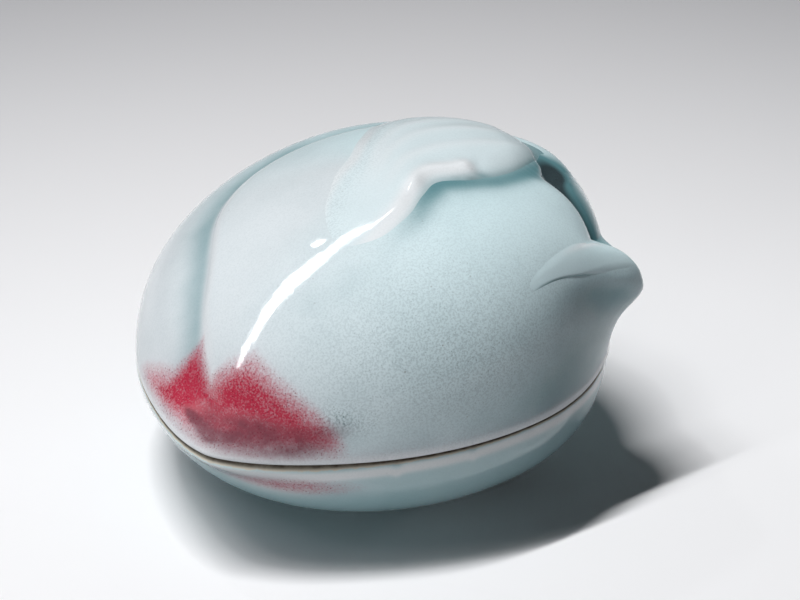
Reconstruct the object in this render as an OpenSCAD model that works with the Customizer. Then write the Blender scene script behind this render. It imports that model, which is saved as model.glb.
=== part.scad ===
// Peach-shaped porcelain incense box. A hollow lid, with a leaf and a stalk luted to it,
// sits on a shallow base and is centred by the base's upright inner collar.
// X runs from the tip of the peach towards its back, Z is up, the table is at z = 0.

/* [Plan of the peach] */
// Centre to rim towards the tip
tip_reach = 41; // [37:0.5:46]
// Centre to rim towards the back
back_reach = 33; // [29:0.5:38]
// Centre to rim on the near side
near_reach = 34.5; // [31:0.5:39]
// Centre to rim on the far side
far_reach = 39; // [35:0.5:44]

/* [Heights and fullness] */
// Height of the parting plane above the table
parting_z = 18.6; // [15:0.2:23]
// Height of the lid above the parting plane
lid_rise = 31.2; // [27:0.2:36]
// Fullness of the side profile, 2 is an ellipse
fullness = 2.35; // [2:0.05:2.8]
// How far the crown leans towards the back
crown_x = 6; // [0:0.5:9]
// How far the crown leans towards the far side
crown_y = -6; // [-9:0.5:0]
// Mean radius of the flat foot
foot_r = 18; // [14:0.5:23]

/* [Walls] */
// Wall of the lid, and width of the seat that its rim stands on
lid_wall = 4.2; // [3.8:0.1:6]
// Thickness of the floor of the base
floor_t = 4; // [3:0.1:6]
// Rounding of the two rims along the parting line
rim_round = 0.7; // [0.3:0.1:1.2]

/* [Collar of the base] */
// Height of the collar above the parting plane
collar_h = 2.6; // [1.5:0.1:4]
// Thickness of the collar
collar_t = 1.8; // [1.2:0.1:3]
// Clearance between the collar and the lid
collar_gap = 0.45; // [0.3:0.05:0.8]

/* [Pointed tip] */
// How far the tip stands out of the plan
tip_len = 4.8; // [2:0.2:7]
// Direction of the tip
tip_angle = 193; // [180:1:205]
// Spread of the tip round the rim, in degrees
tip_span = 20; // [12:1:30]
// Spread of the tip above and below the parting plane
tip_height = 4; // [2.5:0.1:6]

/* [Cleft between the two lobes] */
// Centre of the near lobe, whose far edge is the cleft
cleft_x = -10; // [-14:0.5:-6]
// Centre of the near lobe across the box
cleft_y = -10; // [-14:0.5:-6]
// Radius of the cleft about that centre
cleft_r = 32; // [29:0.5:35]
// How far the cleft is drawn in on the tip side
cleft_dip = 4.5; // [0:0.5:6]
// Depth of the cleft
cleft_depth = 0.95; // [0.5:0.05:1.4]
// Half width of the cleft's steep side, on the near lobe
cleft_near_w = 1.8; // [1:0.1:3]
// Half width of the cleft's easy side, on the far lobe
cleft_far_w = 3.4; // [2:0.1:5]
// Further depth of the hollow by the stalk
hollow_depth = 2.2; // [0.5:0.1:2.5]
// How far the hollow is drawn in towards the near lobe's centre
hollow_in = 1.3; // [0:0.1:3]

/* [Leaf] */
// Thickness of the blade
leaf_t = 0.9; // [0.7:0.1:1.6]
// Further height of the rolled near edge
leaf_roll = 0.9; // [0.4:0.1:1.6]
// Share of the blade's width that the roll takes up
leaf_roll_w = 0.22; // [0.12:0.02:0.4]

/* [Stalk] */
// Direction in which the stalk's rounded end points
stalk_heading = 307; // [300:1:314]
// Length of the stalk along the shoulder of the lid
stalk_len = 21; // [18:0.5:24]
// Height of the stalk's lower edge at its rounded end, above the table
stalk_z = 32.9; // [31:0.1:35]
// How far the middle of the lower edge rises above that
stalk_rise = 6.1; // [4:0.1:8]
// Height of the stalk near its rounded end, from lower to upper edge
stalk_tall = 4.7; // [3.5:0.1:6]
// Height of the stalk at its thin end
stalk_thin = 0.9; // [0.6:0.1:1.5]
// Thickness of the strip that the stalk is made of
stalk_t = 1.4; // [0.9:0.1:2]
// How far the lid is drawn out to carry the stalk's rounded end
beak_len = 6.4; // [4:0.1:8]

/* [Hidden] */

// Points round each ring of the lid and base, and how many degrees they crowd towards the stalk
round_n = 84;
round_crowd = 26;
// Rings up the outside of the lid, inside of the lid, outside of the base and inside of the base
lid_rows = 28;
lid_inner_rows = 9;
base_rows = 9;
bowl_rows = 8;
// Steps along and across the leaf
leaf_steps = 30;
leaf_across = 8;
// Steps along and across the stalk
stalk_steps = 28;
stalk_across = 10;
// How deep the blanks of the leaf and the stalk reach into the lid before they are cut to it
leaf_bedding = 2;
stalk_bedding = 6;

celadon = [0.80, 0.89, 0.89];
celadon_deep = [0.70, 0.83, 0.84];
celadon_leaf = [0.86, 0.93, 0.92];

// Inner rim of the lid, outer and inner face of the collar, as insets from the plan outline
collar_out = lid_wall + collar_gap;
collar_in = collar_out + collar_t;
// Depth that the base's profile would have if it ran on below the foot
mean_reach = (tip_reach + back_reach + near_reach + far_reach) / 4;
foot_share = foot_r / mean_reach;
base_depth = parting_z / pow(1 - pow(foot_share, fullness), 1 / fullness);
bowl_depth = parting_z - floor_t;

// Where the cleft is drawn in most, and over how many degrees
dip_angle = 137;
dip_span = 28;
// Where the hollow lies along the cleft, over how many degrees, and the half width of its steep side
hollow_angle = -13;
hollow_span = 13;
hollow_near_w = 2.2;
// Lip beyond the hollow: its share of the hollow's depth, its distance from the cleft and half width
hollow_lip_share = 0.22;
hollow_lip_d = 5.6;
hollow_lip_w = 2.2;
// Height over which the cleft fades out above the rim. By the stalk it ends at a direction, over a span
cleft_fade = 4;
cleft_end_angle = -36;
cleft_end_span = 12;
// Direction from which on the cleft counts as lying by the stalk
cleft_back_angle = -120;
// Power of the cusp of the tip
tip_power = 1.5;
// Direction across the lid in which the stalk points, and direction along the stalk
stalk_way = [cos(stalk_heading), sin(stalk_heading), 0];
stalk_along = [-stalk_way.y, stalk_way.x, 0];
// Shares that bend the stalk's lower edge: straight, squared and cubed part
foot_bend_shares = [1.82, 0.96, -2.16];
// Length over which the stalk fills out, and over which its end turns round
stalk_fill = 18;
nose_run = 9;
// Height of the rounded end over the stalk's own height
nose_round_share = 1.3;
// How far the ridge under the stalk spreads above its lower edge, below it, and in a wide foot
ridge_above = 6.5;
ridge_below = 5;
ridge_foot = 9.5;
ridge_foot_share = 0.4;
// Power of the ridge's growth along the stalk, how far past the end it is full, where it closes, and over
// what length
ridge_power = 2.8;
ridge_lead = 1;
ridge_past = 1.5;
ridge_close = 7;
// Distance from the axis at which the ridge may begin, and the run to its full height
ridge_from = 10;
ridge_run = 8;
// Where on the stalk's height its bed in the lid is deepest, and how far that bed spreads
bed_mid_share = 0.6;
bed_spread_share = 0.5;
bed_run = 6;
// Thin end left off the strip, length of it past the rounded end, its share over the ridge, and its edge
stalk_start = 2.5;
stalk_past = 5.5;
stalk_over_share = 1.3;
stalk_edge = 0.3;
// Range of directions searched for the points of the stalk, and the steps for its slope
search_back = 67;
search_on = 38;
slope_angle = 0.1;
slope_share = 0.002;
// Thickness of the leaf at its edges, and where along the leaf the roll is highest and how far it runs
leaf_edge = 0.4;
roll_mid_share = 0.42;
roll_span_share = 0.3;

// Near and far edges of the leaf in plan, from its root at the hollow to its tip
leaf_near = [[22, -9.8], [14.5, -13.6], [8.5, -14.3], [4.2, -12.6], [0, -10.2], [-3.4, -10.1], [-7, -12.1],
    [-11.5, -14], [-16.5, -14.6], [-21, -13.8], [-24.8, -12.6]];
leaf_far = [[23.4, -7], [21.9, 2.8], [16.6, 11], [9.4, 14.2], [2, 10.5], [-3.8, 6.5], [-9.5, 4.2],
    [-15.2, 0.7], [-20, -3.5], [-23.2, -8], [-25, -11.8]];

// Angle folded into -180 to 180
function turn(a) = a - 360 * floor((a + 180) / 360);

// Bell curve of height 1 and half width w
function bell(d, w) = exp(-pow(d / w, 2));

// Smooth step from 0 to 1
function ease(t) = let (c = max(0, min(1, t))) c * c * (3 - 2 * c);

// Direction of point i of a ring: the points lie closer together towards the stalk
function ring_angle(i) = let (a = 360 * i / round_n) a - round_crowd * sin(a - stalk_heading);

// Reach of the plan along X and along Y in the quadrant of a direction
function reach(a, inset) = [
    (cos(a) < 0 ? tip_reach : back_reach) - inset,
    (sin(a) < 0 ? near_reach : far_reach) - inset
];

// Radius of the plan outline in direction a: four quarter ellipses that meet square to the axes
function outline(a, inset = 0) =
    let (e = reach(a, inset))
    1 / norm([cos(a) / e.x, sin(a) / e.y]);

// Share of the outline that is left at share k of the height
function level(k) = pow(max(0, 1 - pow(k, fullness)), 1 / fullness);

// How far the pointed tip adds to the radius, h above or below the parting plane
function tip(a, h) =
    tip_len * exp(-pow(abs(turn(a - tip_angle)) / tip_span, tip_power)) * bell(h, tip_height);

// Point of a smooth dome at direction a and share k of its rise
function dome(a, k, inset = 0, tipped = 1) =
    let (rise = lid_rise - inset, r = outline(a, inset) * level(k) + tipped * tip(a, k * rise))
    [r * cos(a) + crown_x * k * k, r * sin(a) + crown_y * k * k, parting_z + k * rise];

// Direction square to the smooth dome at a point on it
function outward(p) =
    let (k = (p.z - parting_z) / lid_rise,
        x = p.x - crown_x * k * k,
        y = p.y - crown_y * k * k,
        e = reach(atan2(y, x), 0),
        n = [x / pow(e.x, 2), y / pow(e.y, 2), (p.z - parting_z) / pow(lid_rise, 2)])
    n / norm(n);

// Radius of the cleft in direction a about the near lobe's centre
function cleft_radius(a) =
    cleft_r - cleft_dip * bell(turn(a - dip_angle), dip_span)
    - hollow_in * bell(turn(a - hollow_angle), hollow_span);

// Depth of the cleft, and of the hollow in it, at a point on the dome
function relief(p) =
    let (x = p.x - cleft_x,
        y = p.y - cleft_y,
        a = atan2(y, x),
        d = norm([x, y]) - cleft_radius(a),
        hollow = bell(turn(a - hollow_angle), hollow_span),
        steep = bell(d, cleft_near_w + (hollow_near_w - cleft_near_w) * hollow),
        easy = bell(d, cleft_far_w) - hollow_lip_share * hollow * bell(d - hollow_lip_d, hollow_lip_w),
        by_stalk = a > cleft_back_angle && a < 0,
        end = by_stalk ? ease((a - cleft_end_angle) / cleft_end_span) : 1,
        fade = end * (1 - bell(p.z - parting_z, cleft_fade)))
    fade * (d < 0 ? steep : easy) * (cleft_depth + hollow_depth * hollow);

// Height of the stalk's lower edge at place x along it, which is 0 at the rounded end
function stalk_foot(x) =
    let (s = -x / stalk_len, bend = foot_bend_shares)
    stalk_z + stalk_rise * s * (bend[0] + s * (bend[1] + s * bend[2]));

// Height of the stalk from its lower to its upper edge at place x along it
function stalk_height(x) = stalk_thin + (stalk_tall - stalk_thin) * ease(1 + x / stalk_fill);

// How far the lid is drawn out under the stalk at a point of the dome
function ridge(p) =
    let (x = p * stalk_along,
        off = p.z - stalk_foot(x),
        above = max(0, off) / stalk_height(x),
        nose = ease(1 + x / nose_run),
        round_top = sqrt(max(0, 1 - pow(above / nose_round_share, 2))),
        upper = bell(off, ridge_above) * (1 - nose) + round_top * nose,
        lower = (1 - ridge_foot_share) * bell(off, ridge_below) + ridge_foot_share * bell(off, ridge_foot),
        grown = pow(ease((x + stalk_len) / (stalk_len + ridge_lead)), ridge_power),
        closed = 1 - ease((x - ridge_past) / ridge_close),
        side = ease((p * stalk_way - ridge_from) / ridge_run))
    beak_len * grown * closed * side * (off > 0 ? upper : lower);

// Depth of the bed that the stalk lies in
function stalk_bed(p) =
    let (x = p * stalk_along,
        share = (p.z - stalk_foot(x)) / stalk_height(x),
        ends = ease((x + stalk_len) / bed_run) * (1 - ease((x - ridge_past) / ridge_close)),
        side = ease((p * stalk_way - ridge_from) / ridge_run))
    stalk_t * bell(share - bed_mid_share, bed_spread_share) * ends * side;

// Point of the dome drawn out to the stalk
function ridged(a, k) = let (p = dome(a, k)) p + ridge(p) * stalk_way;

// Point of the finished outside of the lid
function lid_skin(a, k) =
    let (p = dome(a, k))
    p + ridge(p) * stalk_way - (relief(p) + stalk_bed(p)) * outward(p);

// Share of the lid's rise at which its smooth dome stands over a point of the plan
function rise_over(q, low = 0, high = 1, steps = 24) =
    let (k = (low + high) / 2,
        x = q.x - crown_x * k * k,
        y = q.y - crown_y * k * k,
        e = reach(atan2(y, x), 0),
        outside = norm([x / e.x, y / e.y]) > level(k))
    steps == 0 ? k : outside ? rise_over(q, low, k, steps - 1) : rise_over(q, k, high, steps - 1);

// Point at height h over the smooth dome, above a point of the plan
function over_dome(q, h) =
    let (p = [q.x, q.y, parting_z + lid_rise * rise_over(q)])
    p + h * outward(p);

// Rows of height shares, evenly stepped along the profile
function row_share(i, rows) = pow(sin(90 * i / rows), 2 / fullness);

// Ring of the base at height z, with the plan drawn in by inset
function base_ring(z, inset) = [
    for (i = [0 : round_n - 1])
        let (a = ring_angle(i),
            k = (parting_z - z) / base_depth,
            r = (outline(a) + tip(a, 0) * bell(parting_z - z, tip_height)) * level(k) - inset)
        [r * cos(a), r * sin(a), z]
];

// Upright ring at height z, drawn in from the plain plan outline
function collar_ring(z, inset) = [
    for (i = [0 : round_n - 1])
        let (a = ring_angle(i), r = outline(a, inset))
        [r * cos(a), r * sin(a), z]
];

// Ring of the bowl inside the base at share k of its depth
function bowl_ring(k) = [
    for (i = [0 : round_n - 1])
        let (a = ring_angle(i), r = outline(a, collar_in) * level(k))
        [r * cos(a), r * sin(a), parting_z - k * bowl_depth]
];

// Closed solid through rings of equal count, with a flat cap on the first and last ring
module loft(rings) {
    n = len(rings[0]);
    last = len(rings) - 1;
    sides = [
        for (j = [0 : last - 1])
            for (i = [0 : n - 1])
                let (a = j * n + i,
                    b = j * n + (i + 1) % n)
                each [[a, a + n, b], [b, a + n, b + n]]
    ];
    caps = [
        [for (i = [0 : n - 1]) i],
        [for (i = [n - 1 : -1 : 0]) last * n + i]
    ];
    polyhedron(points = [for (r = rings) each r], faces = concat(sides, caps), convexity = 8);
}

// Rings up the outside of the lid, from parting plane to crown
function lid_outside() = concat(
    [[for (i = [0 : round_n - 1])
        let (a = ring_angle(i), p = lid_skin(a, 0))
        p - rim_round * [cos(a), sin(a), 0]]],
    [[for (i = [0 : round_n - 1]) lid_skin(ring_angle(i), rim_round / lid_rise)]],
    [for (j = [1 : lid_rows - 1])
        [for (i = [0 : round_n - 1]) lid_skin(ring_angle(i), row_share(j, lid_rows))]]
);

// Rings down the inside of the lid, from crown to parting plane
function lid_inside() = [
    for (j = [lid_inner_rows - 1 : -1 : 0])
        [for (i = [0 : round_n - 1]) dome(ring_angle(i), row_share(j, lid_inner_rows), lid_wall, 0)]
];

// Smooth curve through a list of points, at share s of its length
function through(points, s) =
    let (n = len(points) - 1,
        i = min(n - 1, floor(s * n)),
        f = s * n - i,
        a = points[max(0, i - 1)],
        b = points[i],
        c = points[i + 1],
        d = points[min(n, i + 2)])
    b + f / 2 * (c - a + f * (2 * a - 5 * b + 4 * c - d + f * (3 * (b - c) + d - a)));

// Height of the leaf over the dome: s runs from root to tip, w from near to far edge
function leaf_height(s, w) =
    leaf_edge + (leaf_t - leaf_edge) * sin(180 * w)
    + leaf_roll * bell(w - leaf_roll_w / 2, leaf_roll_w) * bell(s - roll_mid_share, roll_span_share);

function leaf_row(s, sunk) = [
    for (j = [0 : leaf_across])
        let (w = sunk ? 1 - j / leaf_across : j / leaf_across,
            q = through(leaf_near, s) * (1 - w) + through(leaf_far, s) * w)
        over_dome(q, sunk ? -leaf_bedding : leaf_height(s, w))
];

// Direction from the axis at which the dome passes place x along the stalk, at share k of its rise
function stalk_angle(x, k, low = stalk_heading - search_back, high = stalk_heading + search_on, steps = 22) =
    let (a = (low + high) / 2)
    steps == 0 ? a
    : dome(a, k) * stalk_along > x ? stalk_angle(x, k, low, a, steps - 1)
    : stalk_angle(x, k, a, high, steps - 1);

// Point of the stalk at place x along it and share w of its height: on its face, or sunk into the lid
function stalk_point(x, w, sunk) =
    let (k = (stalk_foot(x) + w * stalk_over_share * stalk_height(x) - parting_z) / lid_rise,
        a = stalk_angle(x, k),
        p = ridged(a, k),
        n = cross(ridged(a + slope_angle, k) - p, ridged(a, k + slope_share) - p))
    sunk ? p - stalk_bedding * stalk_way : p + stalk_edge * n / norm(n);

// Section across the stalk at place x: down its face and up the side sunk into the lid
function stalk_section(x) = concat(
    [for (j = [stalk_across : -1 : 0]) stalk_point(x, j / stalk_across, false)],
    [for (j = [0 : stalk_across]) stalk_point(x, j / stalk_across, true)]
);

module lid_blank() { loft(lid_outside()); }

module lid() {
    color(celadon) loft(concat(lid_inside(), lid_outside()));
}

module base() {
    color(celadon_deep) loft(concat(
        [for (j = [0 : base_rows])
            base_ring((parting_z - rim_round) * (1 - cos(90 * j / base_rows)), 0)],
        [base_ring(parting_z, rim_round), collar_ring(parting_z, collar_out),
            collar_ring(parting_z + collar_h, collar_out), collar_ring(parting_z + collar_h, collar_in)],
        [for (j = [0 : bowl_rows - 1]) bowl_ring(row_share(j, bowl_rows))]
    ));
}

module leaf() {
    color(celadon_leaf) difference() {
        loft([
            for (i = [0 : leaf_steps])
                let (s = i / leaf_steps)
                concat(leaf_row(s, false), leaf_row(s, true))
        ]);
        lid_blank();
    }
}

module stalk() {
    first = stalk_start - stalk_len;
    color(celadon_leaf) difference() {
        loft([for (i = [0 : stalk_steps]) stalk_section(first + (stalk_past - first) * i / stalk_steps)]);
        lid_blank();
    }
}

base();
lid();
leaf();
stalk();
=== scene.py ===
import bpy
import numpy as np
from mathutils import Matrix, Vector


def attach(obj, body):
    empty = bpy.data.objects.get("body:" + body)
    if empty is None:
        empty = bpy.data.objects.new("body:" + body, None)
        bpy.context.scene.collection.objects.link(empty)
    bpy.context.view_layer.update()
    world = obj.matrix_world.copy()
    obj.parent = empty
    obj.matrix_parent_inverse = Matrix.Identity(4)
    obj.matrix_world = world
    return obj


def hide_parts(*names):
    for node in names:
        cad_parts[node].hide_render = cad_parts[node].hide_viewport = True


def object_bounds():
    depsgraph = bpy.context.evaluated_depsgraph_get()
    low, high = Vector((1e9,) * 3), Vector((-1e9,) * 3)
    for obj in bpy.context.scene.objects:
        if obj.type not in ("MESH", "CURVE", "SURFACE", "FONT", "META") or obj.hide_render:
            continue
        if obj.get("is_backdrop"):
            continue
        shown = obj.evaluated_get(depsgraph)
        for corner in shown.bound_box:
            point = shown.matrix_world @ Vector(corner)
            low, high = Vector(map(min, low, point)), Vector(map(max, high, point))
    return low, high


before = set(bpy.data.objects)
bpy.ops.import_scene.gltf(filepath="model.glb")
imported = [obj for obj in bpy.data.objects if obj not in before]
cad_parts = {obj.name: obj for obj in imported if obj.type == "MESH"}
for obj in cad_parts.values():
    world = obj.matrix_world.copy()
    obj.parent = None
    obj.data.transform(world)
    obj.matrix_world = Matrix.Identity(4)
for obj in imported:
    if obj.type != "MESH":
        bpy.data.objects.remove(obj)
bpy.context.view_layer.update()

# BASE. The lower half of the peach: a shallow porcelain bowl pressed in a mould, glazed outside and
# in, and left bare on the seat, the collar and the flat foot, where it would stick in the kiln.
# The upright collar inside the seat keeps the lid from sliding.

MM = 0.001
TIP_REACH, BACK_REACH, NEAR_REACH, FAR_REACH = 41.0, 33.0, 34.5, 39.0
MEAN_REACH = (TIP_REACH + BACK_REACH + NEAR_REACH + FAR_REACH) / 4
PARTING_Z, FULLNESS, FOOT_R = 18.6, 2.35, 18.0
BASE_DEPTH = PARTING_Z / (1 - (FOOT_R / MEAN_REACH) ** FULLNESS) ** (1 / FULLNESS)
FOOT_LIFT, FOOT_INSETS = 0.35, (14.0, 9.0, 4.0, 1.6, 0.8)
LID_WALL, FLOOR_T = 4.2, 4.0
COLLAR_H, COLLAR_T, COLLAR_GAP, COLLAR_ROUND, COLLAR_STAIN = 2.6, 1.8, 0.45, 0.5, 0.1
TIP_LEN, TIP_ANGLE, TIP_SPAN, TIP_CUSP, TIP_HEIGHT = 4.8, 193.0, 20.0, 1.5, 4.0
RIM_WEAR, TIP_WEAR, SIDE_WEAR = 0.42, 0.4, 0.12
SEAT_SHARES = (0.3, 0.6, 0.9, 1.0)
ROUND = 440
angle = np.arange(ROUND) * 360 / ROUND


def turn(a):
    """Angle in degrees folded into -180 to 180."""
    return (a + 180) % 360 - 180


def bell(d, w):
    """Bell curve of height 1: e to the power of minus the square of d over w."""
    return np.exp(-(d / w) ** 2)


def spot(a, at, wide):
    """Bell curve of the direction a about the direction at, both in degrees."""
    return bell(turn(a - at), wide)


def ease(t):
    """Smooth step from 0 to 1: three t squared less two t cubed, with t held between 0 and 1."""
    t = np.clip(t, 0, 1)
    return t * t * (3 - 2 * t)


def reach(a, inset=0.0):
    """Half axes of the quarter ellipse that the plan has in direction a, drawn in by inset."""
    long = np.where(np.cos(np.radians(a)) < 0, TIP_REACH, BACK_REACH) - inset
    wide = np.where(np.sin(np.radians(a)) < 0, NEAR_REACH, FAR_REACH) - inset
    return long, wide


def outline(a, inset=0.0):
    """Radius of the plan in direction a: one over the length of (cos a / long, sin a / wide)."""
    long, wide = reach(a, inset)
    return 1 / np.hypot(np.cos(np.radians(a)) / long, np.sin(np.radians(a)) / wide)


def level(k):
    """Share of the plan left at share k of the height: the m-th root of 1 less k to the power m."""
    return np.clip(1 - k ** FULLNESS, 0, None) ** (1 / FULLNESS)


def tip(a, h):
    """What the pointed tip adds to the radius: a cusp round TIP_ANGLE times a bell of the height."""
    cusp = np.exp(-(np.abs(turn(a - TIP_ANGLE)) / TIP_SPAN) ** TIP_CUSP)
    return TIP_LEN * cusp * bell(h, TIP_HEIGHT)


def rim_wear(a):
    """Worn roundness of the rims: a little all round, and most on the near side of the tip."""
    return RIM_WEAR + TIP_WEAR * spot(a, 208, 26) + SIDE_WEAR * spot(a, 247, 14)


def ring(radius, z):
    """One ring of points round the axis, from its radius in each direction and its height."""
    flat = np.radians(angle)
    return np.stack([radius * np.cos(flat), radius * np.sin(flat), z + 0 * flat], -1)


def rings_mesh(name, rings, **paint):
    """Closed skin in metres through rings of equal count: quads between rings, a fan at either end.

    paint holds one number for each point, kept as attributes that the glaze reads.
    """
    rows, count = rings.shape[:2]
    ends = rings[[0, -1]].mean(1)
    points = np.concatenate([rings.reshape(-1, 3), ends]) * MM
    here = np.arange(rows * count).reshape(rows, count)
    there = np.roll(here, -1, axis=1)
    quads = np.stack([here[:-1], there[:-1], there[1:], here[1:]], -1).reshape(-1, 4)
    first = np.stack([np.full(count, rows * count), there[0], here[0]], -1)
    last = np.stack([here[-1], there[-1], np.full(count, rows * count + 1)], -1)
    loops = np.concatenate([quads.ravel(), first.ravel(), last.ravel()])
    sizes = np.concatenate([np.full(len(quads), 4), np.full(2 * count, 3)])
    starts = np.concatenate([[0], np.cumsum(sizes)[:-1]])
    mesh = bpy.data.meshes.new(name)
    mesh.vertices.add(len(points))
    mesh.vertices.foreach_set("co", points.astype(np.float32).ravel())
    mesh.loops.add(len(loops))
    mesh.loops.foreach_set("vertex_index", loops.astype(np.int32))
    mesh.polygons.add(len(sizes))
    mesh.polygons.foreach_set("loop_start", starts.astype(np.int32))
    mesh.polygons.foreach_set("loop_total", sizes.astype(np.int32))
    mesh.polygons.foreach_set("use_smooth", np.ones(len(sizes), bool))
    for key, value in paint.items():
        value = np.broadcast_to(value, (rows, count))
        data = np.concatenate([value.ravel(), value[[0, -1]].mean(1)])
        mesh.attributes.new(key, "FLOAT", "POINT").data.foreach_set("value", data.astype(np.float32))
    mesh.update()
    mesh.validate()
    piece = bpy.data.objects.new(name, mesh)
    bpy.context.scene.collection.objects.link(piece)
    return piece


class Coat:
    """One socket of a glaze recipe. + - * on it add Math nodes, in either order."""

    def __init__(self, tree, socket=None):
        self.tree, self.socket = tree, socket

    def node(self, kind, settings=None, out=0, **sockets):
        """Any node: its type, its settings, then values or links for its sockets, by name or number."""
        made = self.tree.nodes.new("ShaderNode" + kind)
        for key, value in (settings or {}).items():
            setattr(made, key, value)
        for key, value in sockets.items():
            number = key[1:]
            socket = made.inputs[int(number) if number.isdigit() else key.replace("_", " ")]
            if isinstance(value, Coat):
                self.tree.links.new(value.socket, socket)
            else:
                socket.default_value = value
        return Coat(self.tree, made.outputs[out])

    def math(self, operation, a, b):
        """Math node of two sockets or numbers."""
        return self.node("Math", {"operation": operation}, i0=a, i1=b)

    def __add__(self, other):
        return self.math("ADD", self, other)

    def __radd__(self, other):
        return self.math("ADD", other, self)

    def __sub__(self, other):
        return self.math("SUBTRACT", self, other)

    def __rsub__(self, other):
        return self.math("SUBTRACT", other, self)

    def __mul__(self, other):
        return self.math("MULTIPLY", self, other)

    def __rmul__(self, other):
        return self.math("MULTIPLY", other, self)

    def between(self, low, high):
        """Smooth step of the socket from 0 at low to 1 at high."""
        return self.node("MapRange", {"interpolation_type": "SMOOTHSTEP"},
                         Value=self, From_Min=low, From_Max=high)

    def blend(self, factor, a, b):
        """Colour a turning into colour b with the factor."""
        return self.node("Mix", {"data_type": "RGBA"}, out=2, i0=factor, i6=a, i7=b)


def tone(red, green, blue):
    """Colour written in 0 to 255 screen values, as the linear colour that a shader takes."""
    c = np.array([red, green, blue]) / 255
    return (*np.where(c <= 0.04045, c / 12.92, ((c + 0.055) / 1.055) ** 2.4), 1.0)


FIRED_PALE, POOLED_DARK = tone(217, 224, 228), tone(54, 66, 70)
BLUE_GRAIN, IRON_SPECK = tone(76, 108, 114), tone(84, 88, 80)
PINK_HALO, COPPER_RED = tone(206, 150, 168), tone(180, 50, 72)
BRUISED_MAUVE, WINE_DOT = tone(106, 62, 72), tone(112, 30, 48)
BARE_CLAY, STAINED_CLAY = tone(212, 205, 190), tone(62, 50, 36)
BASE_TONES = tone(187, 213, 217), tone(136, 175, 180), tone(224, 230, 231)
GLAZE_GLOSS, CLAY_DULL, MAUVE_DULL, GLAZE_INDEX = 0.06, 0.62, 1.1, 1.5
PEEL_DEPTH = 0.04 * MM


def celadon(name, clear, deep, thin):
    """Celadon glaze on porcelain: the clear colour, deeper where it pools, whiter where it runs thin.

    Some of the deep colour is painted shade, some of the white is painted light, and where most light
    falls the glaze is painted paler and greyer. The attributes for pooling and painted shade, thin glaze
    and painted light, that paler grey, blush, mauve and crease shade, fleck, bare clay, and stain and
    gap shadow say where each colour of the glaze and of the clay shows, and noise breaks up their edges.
    """
    material = bpy.data.materials.new(name)
    material.use_nodes = True
    tree = material.node_tree
    shader = tree.nodes["Principled BSDF"]
    coat = Coat(tree)
    place = coat.node("TexCoord", out="Object")
    pool, thin_at, fired, blush, mauve, fleck, bare, stain = (
        coat.node("Attribute", {"attribute_name": key}, out="Fac")
        for key in ("pool", "thin", "fired", "blush", "mauve", "fleck", "bare", "stain"))
    cloud = coat.node("TexNoise", Vector=place, Scale=70.0, Detail=3.0, Roughness=0.55)
    grain = coat.node("TexNoise", Vector=place, Scale=3200.0, Detail=2.0, Roughness=0.6)
    mist = coat.node("TexNoise", Vector=place, Scale=620.0, Detail=4.0, Roughness=0.65)

    def ragged(value, noise, amount):
        """A value with a noise added, less its mean of one half, times an amount."""
        return value + (noise - 0.5) * amount

    def specks(scale, size, share):
        """Round specks: near the middles of a share of the cells of a Voronoi pattern."""
        cells = coat.node("TexVoronoi", Vector=place, Scale=scale)
        shade = coat.node("TexVoronoi", out=1, Vector=place, Scale=scale)
        pick = coat.node("SeparateColor", Color=shade)
        return (1 - cells.between(size * 0.5, size)) * (1 - pick.between(share * 0.85, share))

    # Painted light: paler and greyer where most light falls.
    colour = coat.blend(fired, clear, FIRED_PALE)
    # Deeper where the glaze pools, and where shade is painted in the same colour.
    colour = coat.blend(ragged(pool, cloud, 0.5).between(0.0, 1.0), colour, deep)
    # Whiter where the glaze runs thin; on the base's left end this pale colour is painted light.
    colour = coat.blend(ragged(thin_at, cloud, 0.3).between(0.02, 1.0), colour, thin)
    # Painted shade: where the pooling attribute passes 1 the colour turns to a dark slate, in the hollow by
    # the stalk and at the leaf's root.
    colour = coat.blend((pool - 1).between(0.0, 1.0), colour, POOLED_DARK)
    salt = grain.between(0.42, 0.62) * 0.6 + specks(2400.0, 0.32, 0.5) * 0.6
    colour = coat.blend(salt * fleck * 0.46, colour, BLUE_GRAIN)
    colour = coat.blend(specks(520.0, 0.1, 0.3) * fleck * 0.55, colour, IRON_SPECK)
    uneven = (mist - 0.5) * 0.6 + (grain - 0.5) * 1.2
    copper = blush + uneven * blush.between(0.0, 0.5)
    colour = coat.blend(blush * 0.5, colour, PINK_HALO)
    colour = coat.blend(copper * 1.05 - 0.1, colour, COPPER_RED)
    # Mauve bruising, and the painted shade of the crease under the red in the same colour.
    colour = coat.blend(mauve.between(0.0, 1.0) * ragged(0.85, mist, 0.6), colour, BRUISED_MAUVE)
    dots = specks(2300.0, 0.36, 0.5) * blush.between(0.08, 0.3)
    colour = coat.blend(dots * 0.6, colour, WINE_DOT)
    # Bare clay, stained brown, darkest in the gap under the lid, where the stain is painted shadow.
    clay = coat.blend(stain * ragged(0.95, mist, 0.8), BARE_CLAY, STAINED_CLAY)
    raw = ragged(bare, mist, 0.5).between(0.42, 0.58)
    colour = coat.blend(raw, colour, clay)
    tree.links.new(colour.socket, shader.inputs["Base Color"])
    dull = raw * CLAY_DULL + mauve * MAUVE_DULL + GLAZE_GLOSS
    tree.links.new(dull.socket, shader.inputs["Roughness"])
    peel = coat.node("TexNoise", Vector=place, Scale=1500.0, Detail=2.0, Roughness=0.5)
    swim = coat.node("TexNoise", Vector=place, Scale=260.0, Detail=1.0)
    bump = coat.node("Bump", Height=peel * 0.6 + swim, Strength=0.55, Distance=PEEL_DEPTH)
    tree.links.new(bump.socket, shader.inputs["Normal"])
    shader.inputs["IOR"].default_value = GLAZE_INDEX
    return material


def base_wall(z):
    """Outside radius of the base at height z: plan and tip, drawn in towards the foot."""
    drop = PARTING_Z - z
    return (outline(angle) + tip(angle, 0) * bell(drop, TIP_HEIGHT)) * level(drop / BASE_DEPTH)


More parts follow.
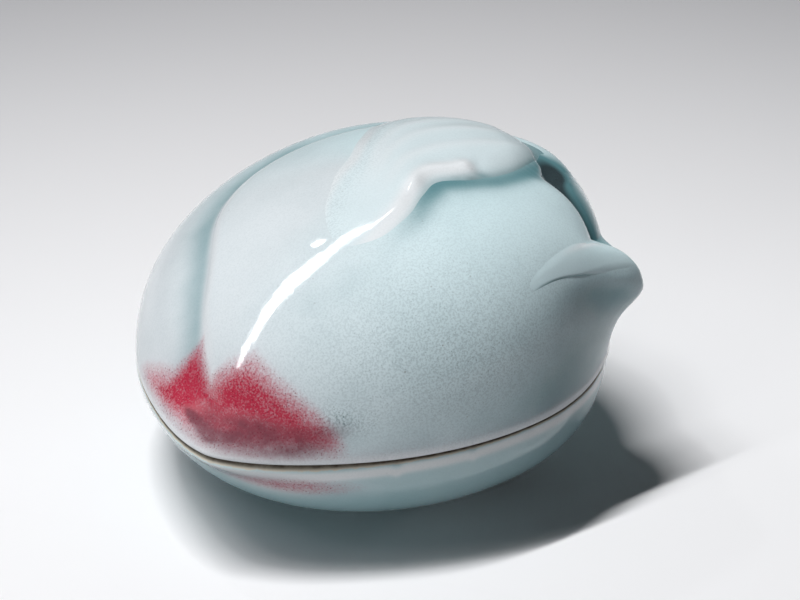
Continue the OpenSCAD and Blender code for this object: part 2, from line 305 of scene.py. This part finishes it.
wall_shares = np.sin(np.linspace(0, np.pi / 2, 70)) ** 1.3
turns = np.linspace(0, np.pi / 2, 9)[1:]
chips = 0.45 * spot(angle, 231, 1.2) + 0.3 * spot(angle, 250, 1.0)
base_wear = 1.35 * rim_wear(angle) + 0.3 * spot(angle, 207, 17) + chips
rim_r = outline(angle) + tip(angle, 0)
collar_out = outline(angle, LID_WALL + COLLAR_GAP)
collar_in = outline(angle, LID_WALL + COLLAR_GAP + COLLAR_T)
collar_top = PARTING_Z + COLLAR_H

# Each section of the skin is its radius, its height, how bare its clay is and how stained; the stain
# turns to painted shadow at the top of the worn rim and the seat's outer edge, in the gap under the lid.
sections = []
for inset in FOOT_INSETS:
    sections.append((base_wall(FOOT_LIFT) - inset, 0.0, 1.0, 0.0))
for share in wall_shares:
    z = FOOT_LIFT + (PARTING_Z - base_wear - FOOT_LIFT) * share
    sections.append((base_wall(z), z, 0.95 * bell(z, 0.45), 0.0))
for t in turns:
    radius = rim_r - base_wear * (1 - np.cos(t))
    z = PARTING_Z - base_wear * (1 - np.sin(t))
    sections.append((radius, z, 0.1 + 0.9 * np.sin(t), ease((t - 0.45) / 0.5)))
for share in SEAT_SHARES:
    radius = rim_r - base_wear + (collar_out - rim_r + base_wear) * share
    sections.append((radius, PARTING_Z, 1.0, 1 - 0.9 * ease(share / 0.6)))
for z in np.linspace(PARTING_Z + 0.2, collar_top - COLLAR_ROUND, 5):
    sections.append((collar_out, z, 1.0, COLLAR_STAIN))
for wall, way, steps in ((collar_out, -1, turns), (collar_in, 1, turns[::-1])):
    for t in steps:
        radius = wall + way * COLLAR_ROUND * (1 - np.cos(t))
        z = collar_top - COLLAR_ROUND * (1 - np.sin(t))
        sections.append((radius, z, 1.0, COLLAR_STAIN))
for z in np.linspace(collar_top - COLLAR_ROUND, PARTING_Z + 0.3, 5):
    sections.append((collar_in, z, ease((z - PARTING_Z) / 1.4), COLLAR_STAIN))
for k in np.sin(np.linspace(0, np.pi / 2, 34)[:-1]) ** (2 / FULLNESS):
    sections.append((collar_in * level(k), PARTING_Z - k * (PARTING_Z - FLOOR_T), 0.0, 0.0))
base_rings = np.stack([ring(radius, z) for radius, z, bare, stain in sections])
base_bare = np.stack([bare + 0 * angle for radius, z, bare, stain in sections])
base_stain = np.stack([stain * (1 - 0.15 * spot(angle, 205, 22)) for radius, z, bare, stain in sections])
drop = PARTING_Z - base_rings[..., 2]
pink = spot(angle, 206, 14) * bell(drop - 4.7, 1.9) * (drop > 0.2)
pale_rim = 0.95 * bell(drop - 0.7 - base_wear, 1.0)
# Painted light: the base's left end is painted paler, as if lit.
pale_end = 0.9 * spot(angle, 203, 13) * bell(drop - 4.5, 3.5)
# Painted shade: the base's colour deepens towards the foot.
base = rings_mesh("base", base_rings, bare=base_bare, stain=base_stain, blush=0.55 * pink, mauve=0.1 * pink,
                  pool=0.25 + 0.35 * ease(drop / 12), thin=pale_rim + pale_end, fleck=0.12)
base.data.materials.append(celadon("base_celadon", *BASE_TONES))
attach(base, "base")
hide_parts("base")

# LID. The upper part of the peach: a hollow porcelain dome, pressed in a mould. A cleft parts its two
# lobes and deepens to a hollow by the stalk. Copper red was brushed round the tip under the glaze,
# and the rim was wiped bare.

LID_RISE, CROWN_X, CROWN_Y = 31.2, 6.0, -6.0
CLEFT_X, CLEFT_Y, CLEFT_R, CLEFT_DIP = -10.0, -10.0, 32.0, 4.5
CLEFT_DEPTH, HOLLOW_DEPTH, HOLLOW_AT, HOLLOW_SPAN = 0.95, 2.8, -15, 14
SWELL_RISE, SWELL_AT, SWELL_BACK = 1.2, 8, 6.0
STALK_TURN = np.radians(-53)
STALK_WAY = np.array([np.cos(STALK_TURN), np.sin(STALK_TURN), 0])
STALK_ACROSS = np.array([-STALK_WAY[1], STALK_WAY[0], 0])
STALK_FIT, BEAK_LEN = (32.9, -0.53, 0.0133, 0.00143), 6.4
LID_TONES = tone(219, 241, 246), tone(98, 142, 149), tone(230, 234, 237)


def dome(a, k, inset=0.0, tipped=1.0):
    """Smooth dome at direction a and share k of the rise: plan times level, plus tip, leaned by k squared."""
    rise = LID_RISE - inset
    r = outline(a, inset) * level(k) + tipped * tip(a, k * rise)
    x = r * np.cos(np.radians(a)) + CROWN_X * k * k
    y = r * np.sin(np.radians(a)) + CROWN_Y * k * k
    return np.stack(np.broadcast_arrays(x, y, PARTING_Z + k * rise), -1)


def outward(p):
    """Unit direction square to the dome: the offset from the leaned axis over the squared half axes."""
    k = (p[..., 2] - PARTING_Z) / LID_RISE
    x, y = p[..., 0] - CROWN_X * k * k, p[..., 1] - CROWN_Y * k * k
    long, wide = reach(np.degrees(np.arctan2(y, x)))
    n = np.stack([x / long ** 2, y / wide ** 2, (p[..., 2] - PARTING_Z) / LID_RISE ** 2], -1)
    return n / np.linalg.norm(n, axis=-1, keepdims=True)


def bend(a):
    """How far the line of the cleft swings out beside the stalk and in again at the hollow."""
    return 1.4 * spot(a, -27, 6) - 2.8 * spot(a, -12.5, 6.5)


def cleft_place(p):
    """Direction about the near lobe's centre, and distance out of the line of the cleft."""
    x, y = p[..., 0] - CLEFT_X, p[..., 1] - CLEFT_Y
    a = np.degrees(np.arctan2(y, x))
    line = CLEFT_R - CLEFT_DIP * spot(a, 137, 28) + bend(a)
    return a, np.hypot(x, y) - line


def short_of_stalk(a):
    """1 along the cleft, easing to 0 where the cleft would run on under the stalk."""
    return np.where(np.abs(a + 60) < 60, ease((a + 31) / 7), 1)


def cleft_depth(p):
    """Depth of the cleft: steep on the near lobe's side, easy on the far side, deeper at the hollow, with a
    swell of the far lobe behind it."""
    a, d = cleft_place(p)
    hollow = spot(a, HOLLOW_AT, HOLLOW_SPAN)
    near_side = bell(d, 1.3 - 0.5 * hollow) + 0.2 * hollow * (bell(d, 3.0) - bell(d, 0.8))
    far_side = (1 - 0.4 * hollow) * bell(d, 3.4 - 1.6 * hollow) + 0.4 * hollow * bell(d, 4.0)
    swell = SWELL_RISE * spot(a, SWELL_AT, 14) * bell(d + bend(a) - SWELL_BACK, 3.0)
    fade = (1 - bell(p[..., 2] - PARTING_Z, 4)) * short_of_stalk(a)
    return fade * (np.where(d < 0, near_side, far_side) * (CLEFT_DEPTH + HOLLOW_DEPTH * hollow) - swell)


def stalk_foot(x):
    """Height of the stalk's lower edge on the dome: a cubic of the place x along the ridge."""
    return STALK_FIT[0] + x * (STALK_FIT[1] + x * (STALK_FIT[2] + x * STALK_FIT[3]))


def stalk_tall(x):
    """Height of the stalk from its lower to its upper edge: thin at the tail, full at the end."""
    return 2.0 + 4.4 * ease((x + 18) / 17)


def beak(p):
    """How far the lid is drawn out under the stalk: full at the stalk's lower edge, easing off below it
    and falling off above its upper edge; it grows along the ridge and ends past the nose."""
    x = p @ STALK_ACROSS
    off = p[..., 2] - stalk_foot(x)
    above = np.clip(off, 0, None) / stalk_tall(x)
    end = ease((x + 9) / 9)
    round_top = np.clip(1 - (above / 0.93) ** 3.0, 0, None) ** 0.4
    lean = 1 - 0.4 * above * (1 - ease((x + 5) / 4))
    upper = bell(off, 6.5) * (1 - end) + round_top * lean * end
    lower = 0.6 * bell(off, 5.0) + 0.4 * bell(off, 9.5)
    drawn = BEAK_LEN * ease((x + 21) / 22) ** 2.8 * (1 - ease((x - 1.5) / 7))
    return drawn * np.where(off > 0, upper, lower) * ease((p @ STALK_WAY - 10) / 8)


LEAF_NEAR = np.array([[25.4, -10.0], [14.5, -14.4], [8.5, -15.1], [4.2, -13.4], [0, -11], [-3.6, -12.2],
                      [-7.6, -14.6], [-12.2, -16.1], [-17, -16.7], [-22, -16], [-26.7, -14.2]])
LEAF_FAR = np.array([[27.2, -6.0], [22.5, 3], [17, 11.5], [9.5, 14.9], [2, 11.2], [-3.8, 7.2],
                     [-9.5, 4.9], [-15.5, 1.2], [-20.8, -4.1], [-24.4, -8], [-27.2, -12.5]])


def through(points, s):
    """Catmull-Rom curve through the points at share s: the cubic that passes each of them with the
    slope of its neighbours."""
    last = len(points) - 1
    i = np.minimum((s * last).astype(int), last - 1)
    f = (s * last - i)[:, None]
    p0, p1 = points[np.maximum(i - 1, 0)], points[i]
    p2, p3 = points[i + 1], points[np.minimum(i + 2, last)]
    return p1 + f / 2 * (p2 - p0 + f * (2 * p0 - 5 * p1 + 4 * p2 - p3 + f * (3 * (p1 - p2) + p3 - p0)))


def leaf_gap(p):
    """Distance in plan from points to the near edge of the leaf, along whose foot glaze pools, and the
    share of that edge where it is nearest."""
    share = np.linspace(0, 1, 81)
    edge = through(LEAF_NEAR, share)
    apart = np.hypot(p[..., 0, None] - edge[:, 0], p[..., 1, None] - edge[:, 1])
    return apart.min(-1), share[apart.argmin(-1)]


def by_root(share):
    """1 at the root of the leaf, easing to 0 about a third of the way along it."""
    return ease((0.36 - share) / 0.3)


def sunk(p):
    """Depth of the lid's hollows: the cleft, and a soft valley along the root of the leaf."""
    gap, share = leaf_gap(p)
    return cleft_depth(p) + 0.45 * bell(gap, 2.2) * by_root(share) * (p[..., 2] > 38)


def lid_skin(a, k):
    """Outside of the lid: the dome sunk by its hollows and drawn out to the stalk."""
    p = dome(a, k)
    return p - sunk(p)[..., None] * outward(p) + beak(p)[..., None] * STALK_WAY


lid_wear = rim_wear(angle)
start = lid_wear / LID_RISE
inner_shares = np.sin(np.linspace(np.pi / 2, 0, 36)[1:]) ** (2 / FULLNESS)
rise_shares = np.sin(np.linspace(0, np.pi / 2, 158)[1:-1]) ** (2 / FULLNESS)
grid_a, grid_k = np.meshgrid(angle, rise_shares)
skin = lid_skin(grid_a, start + (1 - start) * grid_k)
hollow_side = np.stack([dome(angle, k, LID_WALL, 0.0) for k in inner_shares])
edge_r = np.hypot(*lid_skin(angle, start + 0 * angle)[..., :2].T)
seat_r, lip_r = outline(angle, LID_WALL), edge_r - lid_wear
seat = np.stack([ring(seat_r * (1 - share) + lip_r * share, PARTING_Z) for share in SEAT_SHARES])
lip = np.stack([ring(edge_r - lid_wear * (1 - np.sin(t)), PARTING_Z + lid_wear * (1 - np.cos(t)))
                for t in turns])
lid_rings = np.concatenate([hollow_side, seat, lip, skin])

# What the glaze reads: direction and height of each point, and its place by the cleft, leaf and stalk.
a = np.degrees(np.arctan2(lid_rings[..., 1], lid_rings[..., 0])) % 360
h = lid_rings[..., 2] - PARTING_Z
is_out = (np.arange(len(lid_rings)) >= len(hollow_side) + len(seat))[:, None]
cleft_a, cleft_d = cleft_place(lid_rings)
leaf_d, leaf_s = leaf_gap(lid_rings)
ridge_x = lid_rings @ STALK_ACROSS
by_stalk = short_of_stalk(cleft_a)

# The red: its upper edge and its foot, as height over direction, and the crease under the red, drawn
# as a dark line that is partly mauve glaze and partly painted shade, and the bruised spots in it.
RED_EDGE = np.array([[158, 0.5], [164, 3.6], [169, 5.2], [175, 6.6], [177.5, 9.2], [180.2, 12.6],
                     [183.5, 10.4], [186.9, 8.6], [190, 11.4], [196.4, 13.9], [201.5, 12.4], [208, 10.1],
                     [213, 7.8], [217, 5.2], [221, 1.2]])
RED_FOOT = np.array([[160, 2.8], [184, 2.9], [191, 2.9], [201, 3.0], [206, 3.3], [216, 3.2]])
CREASE = np.array([[178, 4.2], [184, 3.5], [188, 3.1], [191, 2.7], [193, 2.7], [197, 3.2], [201, 3.3],
                   [207, 4.0], [214, 5.0]])
BRUISES = ((0.85, 200, 8, 4.7, 1.7), (0.6, 199, 13, 2.0, 1.3), (0.5, 212, 7, 4.2, 2.2),
           (0.3, 218, 5, 5.6, 1.6), (0.35, 210, 7, 2.6, 1.3))
red_top, red_foot, crease = (np.interp(a, *edge.T) for edge in (RED_EDGE, RED_FOOT, CREASE))
red = ease((red_top - h + 2.4) / 7) * ease((h - red_foot + 1.4) / 2.6)
halo = ease((red_top - h + 4) / 7) * ease((h - 0.3) / 1.5)
# Painted shade: a dark line along the crease under the red, partly mauve glaze.
murk = 1.1 * bell(h - crease, 0.45) * ease((a - 180) / 6) * ease((207 - a) / 8)
murk += 0.5 * spot(a, 189, 5) * bell(h - crease - 1.0, 1.6)
for strength, at, wide, up, high in BRUISES:
    murk += strength * spot(a, at, wide) * bell(h - up, high)

# Pooled glaze in the cleft and along the foot of the leaf; painted shade in the hollow, under the
# leaf's lip, under the stalk and low down on the shaded side.
leaf_foot = 0.5 + 0.25 * by_root(leaf_s) - 0.4 * ease((leaf_s - 0.5) / 0.3)
foot_pool = bell(leaf_d, 2.4) * leaf_foot + 0.3 * bell(leaf_d, 5) * bell(leaf_s - 0.42, 0.14)
# Painted shade in the hollow by the stalk and on the far lobe's face beside it.
pocket = 0.6 * spot(cleft_a, -4, 12) * bell(cleft_d - 1.6, 2.2)
pocket += 0.3 * spot(cleft_a, -11, 15) * ease((cleft_d + 0.2) / 0.5) * ease((9 - cleft_d) / 4)
# Painted shade: a band under the stalk, and deeper colour low down, most on the shaded side below the stalk.
stalk_low = bell(lid_rings[..., 2] - stalk_foot(ridge_x) + 3.5, 3.0) * (lid_rings @ STALK_WAY > 10)
side_pool = 0.14 * ease(1 - h / 14) + 0.68 * spot(a, 286, 30) * ease(1 - h / 24)
lid_pool = 0.1 + 0.5 * np.clip(cleft_depth(lid_rings), 0, None) + foot_pool * (h > 20) + side_pool
lid_pool += pocket * by_stalk + 0.55 * bell(ridge_x + 7, 6) * stalk_low

# Thin places: along the rim and on the shoulder of the near lobe beside the cleft; at the hollow a pale
# line along the near lobe's edge, partly thin glaze and partly painted highlight.
lid_thin = 0.8 * bell(h - 0.6, 0.9)
lid_thin += 0.55 * (1 - bell(h, 4)) * by_stalk * bell(cleft_d + 1.6, 1.0) * (h < 29)
lid_thin += 1.3 * by_stalk * spot(cleft_a, -16, 10) * bell(cleft_d + 0.8, 0.65)
lid_fleck = 0.2 + 0.8 * spot(a, 246, 34) * bell(h - 15, 11) + 1.3 * spot(a, 218, 6) * bell(h - 6.6, 2.0)
lid_bare = np.concatenate([np.zeros((len(hollow_side), ROUND)), np.ones((len(seat), ROUND)),
                           (1 - ease(turns / 1.2))[:, None] + 0 * angle, 0.0 * skin[..., 0]])
lid_bare[len(hollow_side) - 3:len(hollow_side)] = 0.8
# Painted light: the left lobe, where most light falls, is painted paler and greyer.
lid = rings_mesh(
    "lid", lid_rings, bare=lid_bare, stain=lid_bare * (0.3 + 0.4 * spot(angle, 215, 40)),
    blush=is_out * (0.78 * red + 0.24 * halo), mauve=is_out * np.clip(murk, 0, 1),
    pool=is_out * np.clip(lid_pool, 0, 2), thin=is_out * np.clip(lid_thin, 0, 1),
    fired=is_out * np.clip(1.1 * spot(a, 165, 62), 0, 1), fleck=is_out * lid_fleck)
lid.data.materials.append(celadon("lid_celadon", *LID_TONES))
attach(lid, "lid")
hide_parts("lid")

# LEAF. A thin blade of clay rolled out, cut to a leaf and luted over the top of the lid before firing.
# Its near edge is rolled up to a fat lip, its far edge is wavy, and slip and glaze soften its border.

LEAF_SKIN, LEAF_ROOT, LEAF_BED = 0.05, 1.15, 1.2
ROLL_RISE, ROLL_IN, ROLL_HALF = 0.42, 3.2, 2.1
VEIN_COUNT, VEIN_RISE, VEIN_HALF, VEIN_SWAY = 3, 0.12, 1.5, 2.0
BORDER_SINK, SINK_SHARE = 0.04, 0.3


def on_dome(q):
    """Points of the dome over points of the plan: halving the range of the height until the dome is met."""
    low, high = np.zeros(q.shape[:-1]), np.ones(q.shape[:-1])
    for _ in range(30):
        k = (low + high) / 2
        x, y = q[..., 0] - CROWN_X * k * k, q[..., 1] - CROWN_Y * k * k
        long, wide = reach(np.degrees(np.arctan2(y, x)))
        past = np.hypot(x / long, y / wide) > level(k)
        high, low = np.where(past, k, high), np.where(past, low, k)
    return np.concatenate([q, (PARTING_Z + LID_RISE * k)[..., None]], -1)


def close_spaced(count):
    """Shares from 0 to 1 that lie closer towards both ends: half of 1 less the cosine of a half turn."""
    return 0.5 - 0.5 * np.cos(np.linspace(0, np.pi, count))


along, across = np.linspace(0, 1, 261), close_spaced(121)
near, far = through(LEAF_NEAR, along), through(LEAF_FAR, along)
width = np.linalg.norm(far - near, axis=1)[:, None]
s, w = along[:, None], across[None, :]
u, v = w * width, (1 - w) * width
blade = on_dome(near[:, None] * (1 - w[..., None]) + far[:, None] * w[..., None])
veins = 0
for i in range(VEIN_COUNT):
    vein_at = width * (0.3 + 0.2 * i) + VEIN_SWAY * np.sin(3.2 * s + i)
    veins = veins + VEIN_RISE * bell(u - vein_at, VEIN_HALF)
veins = veins * ease(s / 0.2) * ease((0.7 - s) / 0.3)
roll = ease((s - 0.25) / 0.05) * ease((0.85 - s) / 0.45)
ripple = 1 + 0.3 * np.sin(31 * s) + 0.2 * np.sin(53 * s + 1)
height = LEAF_SKIN + LEAF_ROOT * ease((0.66 - s) / 0.5) + veins
height = height + ROLL_RISE * roll * ripple * bell(u - ROLL_IN, ROLL_HALF)
near_ease = 6.5 - 2.7 * ease((s - 0.23) / 0.06) + 2.2 * ease((s - 0.5) / 0.3)
border = ease(u / near_ease) * ease(v / 6.0) * ease(s / 0.13) * ease((1 - s) / 0.45)
under = sunk(blade)
lift = height * border - (BORDER_SINK + under + SINK_SHARE * np.clip(under, 0, None)) * (1 - border)
normal = outward(blade)
back = slice(None, None, -10)
leaf_top = blade + lift[..., None] * normal
leaf_bottom = (blade - (under + LEAF_BED)[..., None] * normal)[:, back]
leaf_rings = np.concatenate([leaf_top, leaf_bottom], axis=1)[:, ::-1]


def with_bottom(value):
    """Paint of the leaf's upper side, with none on its hidden underside."""
    return np.concatenate([np.broadcast_to(value, u.shape), np.zeros(u.shape)[:, back]], axis=1)[:, ::-1]


roll_white = ease((s - 0.24) / 0.05) * ease((1 - s) / 0.4) * bell(u - ROLL_IN, 1.7)
far_white = bell(v - 2.4, 1.5) * ease((s - 0.3) / 0.1)
# The glaze pools along the leaf's near edge; its root end and a pocket under the end of the lip are painted
# shade.
leaf_pool = 0.1 + (0.5 + 0.25 * by_root(s)) * bell(u - 0.5, 1.6) + 1.1 * bell(s, 0.07)
leaf_pool = leaf_pool + 0.7 * bell(u - 0.6, 1.8) * bell(s - 0.29, 0.05)
leaf_thin = 0.25 + 0.75 * roll_white + 0.5 * far_white + 2.0 * veins
# Painted light: the whole leaf on top is painted a little paler and greyer, as the lit left side is.
leaf = rings_mesh(
    "leaf", leaf_rings,
    pool=with_bottom(np.clip(leaf_pool, 0, 2)), thin=with_bottom(np.clip(leaf_thin, 0, 1)),
    fired=with_bottom(0.45), fleck=with_bottom(0.15 + 0.4 * bell(v - 4, 3)))
leaf.data.materials.append(celadon("leaf_celadon", *LID_TONES))
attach(leaf, "lid")
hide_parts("leaf")

# STALK. A tapered strip of clay luted along the ridge on the shoulder of the lid, where the peach hung
# from its twig. It is pressed on flat, with a crisp lower edge, and rounded over the end of the ridge.

STALK_TAIL, STALK_END, STALK_OVER, STALK_BED = -21, 8, 1.2, 1.0
STALK_SKIN, BEAD_RISE, BEAD_HALF = 0.15, 0.12, 0.6


def on_ridge(x, z):
    """Direction on the dome of points at the place x along the ridge and the height z, by halving."""
    low, high = np.full(x.shape, 240.0), np.full(x.shape, 345.0)
    for _ in range(30):
        a = (low + high) / 2
        past = dome(a, (z - PARTING_Z) / LID_RISE) @ STALK_ACROSS > x
        high, low = np.where(past, a, high), np.where(past, low, a)
    return a


run = np.linspace(STALK_TAIL, STALK_END, 170)[:, None]
over = close_spaced(81)[None, :]
tall = STALK_OVER * stalk_tall(run)
z = stalk_foot(run) + tall * over
k = (z - PARTING_Z) / LID_RISE
a = on_ridge(run + 0 * z, z)
stalk_bed = lid_skin(a, k)
ridge_way = lid_skin(a + 0.05, k) - lid_skin(a - 0.05, k)
rise_way = lid_skin(a, k + 0.001) - lid_skin(a, k - 0.001)
normal = np.cross(ridge_way, rise_way)
normal /= np.linalg.norm(normal, axis=-1, keepdims=True)
edge = ease(over * tall / (0.6 + 2.4 * ease((run + 11) / 8))) * ease((1 - over) / 0.45)
edge = edge * ease((run - STALK_TAIL) / 12) * ease((2 - run) / 6)
bead = bell(over * tall - 0.95 * stalk_tall(run), BEAD_HALF)
strip_t = STALK_SKIN + BEAD_RISE * bead * ease((run + 15) / 9)
strip_sink = BORDER_SINK + 0.3 * ease((run + 8) / 6)
stalk_top = stalk_bed + (strip_t * edge - strip_sink * (1 - edge))[..., None] * normal
stalk_bottom = (stalk_bed - STALK_BED * normal)[:, ::-8]
stalk_rings = np.concatenate([stalk_top, stalk_bottom], axis=1)[:, ::-1]
blank = np.zeros(stalk_bottom.shape[:2])
stalk_pool = 0.1 + 0.7 * bell(over * tall - 0.2, 0.35) * ease((-run - 4) / 6)
stalk_thin = 0.7 * bead * ease((run + 14) / 9)
stalk = rings_mesh(
    "stalk", stalk_rings, fleck=0.1,
    pool=np.concatenate([stalk_pool, blank], axis=1)[:, ::-1],
    thin=np.concatenate([stalk_thin, blank], axis=1)[:, ::-1])
stalk.data.materials.append(celadon("stalk_celadon", *LID_TONES))
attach(stalk, "lid")
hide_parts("stalk")

# FLOOR. A plain pale sweep of board that the box stands on, painted paler round the box than further
# off, a painted pool of light.
# It throws less light back on the box than it shows to the camera.

FLOOR_HALF, FLOOR_Z = 3.0, -0.0002
PALE_MIDDLE, PALE_FROM, PALE_TO = (-0.065, -0.1, 0.0), 0.112, 0.42
corners = [(FLOOR_HALF * x, FLOOR_HALF * y, FLOOR_Z) for x, y in ((-1, -1), (1, -1), (1, 1), (-1, 1))]
floor_mesh = bpy.data.meshes.new("floor")
floor_mesh.from_pydata(corners, [], [(0, 1, 2, 3)])
floor = bpy.data.objects.new("floor", floor_mesh)
bpy.context.scene.collection.objects.link(floor)
board = bpy.data.materials.new("pale_board")
board.use_nodes = True
board_shader = board.node_tree.nodes["Principled BSDF"]
paint = Coat(board.node_tree)
where = paint.node("TexCoord", out="Object")
apart = paint.node("VectorMath", {"operation": "DISTANCE"}, out=1, i0=where, i1=PALE_MIDDLE)
seen = paint.node("LightPath", out="Is Camera Ray")
mirrored = paint.node("LightPath", out="Is Glossy Ray")
passed = paint.node("LightPath", out="Is Transmission Ray")
# Painted light: the board is paler round the box and greyer further off.
shade = paint.blend(apart.between(PALE_FROM, PALE_TO), tone(244, 244, 246), tone(130, 130, 134))
shade = paint.blend(seen + mirrored + passed, tone(150, 150, 155), shade)
board.node_tree.links.new(shade.socket, board_shader.inputs["Base Color"])
board_shader.inputs["Roughness"].default_value = 0.9
board_shader.inputs["Specular IOR Level"].default_value = 0.1
floor_mesh.materials.append(board)
floor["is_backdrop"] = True

# LIGHT. Three tube lamps in a row overhead, to the left, light the box, with a soft lamp behind it and
# two low ones at the right and the front. A bent strip and a small round lamp show as the highlights.
# A dim even fill lifts the shadow.

STRIP = np.array([[0.19, 0.495, 0.848], [-0.106, 0.44, 0.892], [-0.42, 0.393, 0.818], [-0.745, 0.296, 0.597],
                  [-0.945, 0.22, 0.245]])
STRIP_AWAY, STRIP_GLOW = 0.7, 30.0
t = np.linspace(0, 1, 60)
line = through(STRIP, t)
line /= np.linalg.norm(line, axis=1, keepdims=True)
sideways = np.cross(line, np.gradient(line, axis=0))
sideways /= np.linalg.norm(sideways, axis=1, keepdims=True)
half = (0.008 + 0.036 * np.sin(np.pi * t) ** 1.5)[:, None]
strip_points = np.concatenate([line - half * sideways, line + half * sideways]) * STRIP_AWAY
strip_quads = [(i, i + 1, len(t) + i + 1, len(t) + i) for i in range(len(t) - 1)]
strip_mesh = bpy.data.meshes.new("strip_lamp")
strip_mesh.from_pydata(strip_points.tolist(), [], strip_quads)
strip = bpy.data.objects.new("strip_lamp", strip_mesh)
bpy.context.scene.collection.objects.link(strip)
glow = bpy.data.materials.new("lamp_glow")
glow.use_nodes = True
glow_shader = glow.node_tree.nodes["Principled BSDF"]
glow_shader.inputs["Base Color"].default_value = (0, 0, 0, 1)
glow_shader.inputs["Emission Color"].default_value = (1, 1, 1, 1)
glow_shader.inputs["Emission Strength"].default_value = STRIP_GLOW
strip_mesh.materials.append(glow)
strip.visible_camera = False
strip.visible_diffuse = False
strip.visible_shadow = False
strip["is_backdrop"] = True


def area_lamp(name, power, shows, shape, size):
    """Area lamp that the camera doesn't see; shows says if it is mirrored in the glaze."""
    light = bpy.data.lights.new(name, "AREA")
    light.shape, light.energy = shape, power
    light.size, light.size_y = size
    made = bpy.data.objects.new(name, light)
    bpy.context.scene.collection.objects.link(made)
    made.visible_glossy = shows
    made.visible_camera = False
    return made


def round_lamp(name, toward, away, size, power, shows):
    """Round lamp at a distance in a direction from the box, facing it."""
    made = area_lamp(name, power, shows, "DISK", (size, size))
    made.location = Vector(toward).normalized() * away
    made.rotation_mode = "QUATERNION"
    made.rotation_quaternion = Vector(toward).to_track_quat("Z", "Y")


TUBE_UP, TUBE_THICK, TUBE_BACK, TUBE_SLANT = 1.6, 0.04, 0.16, -0.1
TUBES = (("near", -0.145, 0.58, 19.5), ("mid", -0.42, 0.42, 7.2), ("far", -0.8, 0.8, 3.2))
for part, middle, length, power in TUBES:
    tube = area_lamp("tube_" + part, power, False, "RECTANGLE", (length, TUBE_THICK))
    tube.location = TUBE_UP * Vector((middle, TUBE_BACK + TUBE_SLANT * middle, 1))
    tube.rotation_euler = (0, 0, np.arctan(TUBE_SLANT))
round_lamp("behind", (-0.3, 1.4, 1.0), 2.2, 0.4, 1.8, False)
round_lamp("low_right", (0.97, 0.05, 0.035), 1.2, 0.08, 4.0, False)
round_lamp("low_front", (-0.93, -0.37, 0.03), 1.2, 0.08, 4.8, False)
round_lamp("small", (-0.038, 0.561, 0.838), 0.7, 0.026, 0.14, True)
world = bpy.data.worlds.new("studio")
bpy.context.scene.world = world
world.use_nodes = True
fill = world.node_tree.nodes["Background"]
fill.inputs["Color"].default_value = (0.9, 0.95, 1.0, 1)
fill.inputs["Strength"].default_value = 0.011

# CAMERA. It stands on the near side of the tip, thirty degrees above the table, with a long lens, and is
# moved sideways and up to set the box in the frame.

CAMERA_TURN, CAMERA_TILT = np.radians(40), np.radians(30)
CAMERA_AWAY, CAMERA_ASIDE, CAMERA_UP = 0.45, 0.0011, 0.02122
right = Vector((np.cos(CAMERA_TURN), -np.sin(CAMERA_TURN), 0.0))
away_flat = Vector((-np.sin(CAMERA_TURN), -np.cos(CAMERA_TURN), 0.0))
back_way = away_flat * np.cos(CAMERA_TILT) + Vector((0.0, 0.0, np.sin(CAMERA_TILT)))
up_way = back_way.cross(right)
view = bpy.data.cameras.new("camera")
view.lens, view.sensor_width, view.sensor_fit = 125.55, 36.0, "HORIZONTAL"
view.clip_start, view.clip_end = 0.01, 20.0
camera = bpy.data.objects.new("camera", view)
bpy.context.scene.collection.objects.link(camera)
stand = back_way * CAMERA_AWAY + right * CAMERA_ASIDE + up_way * CAMERA_UP
turned = Matrix((right, up_way, back_way)).transposed().to_4x4()
camera.matrix_world = Matrix.Translation(stand) @ turned
bpy.context.scene.camera = camera
bpy.context.scene.view_settings.view_transform = "Standard"

low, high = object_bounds()
